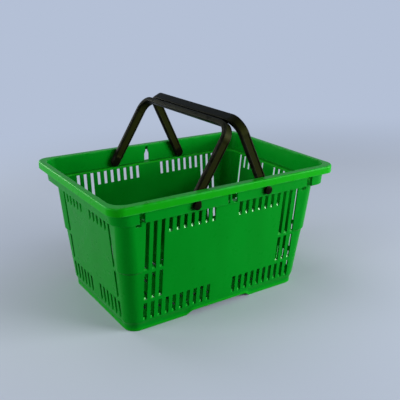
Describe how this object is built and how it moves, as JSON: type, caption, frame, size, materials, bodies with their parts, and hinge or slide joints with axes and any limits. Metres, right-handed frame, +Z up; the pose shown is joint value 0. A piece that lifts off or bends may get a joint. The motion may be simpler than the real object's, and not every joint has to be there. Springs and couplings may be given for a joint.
{
  "type": "shopping basket",
  "caption": "Tapered moulded shopping basket with slotted walls, a ledge inside its rolled rim and black carrying handles that pivot in the rim band and fold down inside the rim.",
  "frame": {"origin": "on the floor under the middle of the tub", "axes": "+X along the length, front long side with the barred window towards -Y, +Z up"},
  "size_m": [0.432, 0.305, 0.3331],
  "materials": {
    "green_plastic": "semi-gloss moulded polypropylene",
    "black_plastic": "satin moulded polypropylene"
  },
  "bodies": {
    "basket_body": {"basket_body": "green_plastic"},
    "handle_left": {"handle_left": "black_plastic"},
    "handle_right": {"handle_right": "black_plastic"}
  },
  "joints": [
    {"name": "handle_left_pivot", "type": "hinge", "parent": "basket_body", "child": "handle_left", "pos_m": [-0.0697, 0, 0.2079], "axis": [0, -1, 0], "range_deg": [0, 112.4]},
    {"name": "handle_right_pivot", "type": "hinge", "parent": "basket_body", "child": "handle_right", "pos_m": [0.0697, 0, 0.2079], "axis": [0, 1, 0], "range_deg": [0, 106.5]}
  ]
}
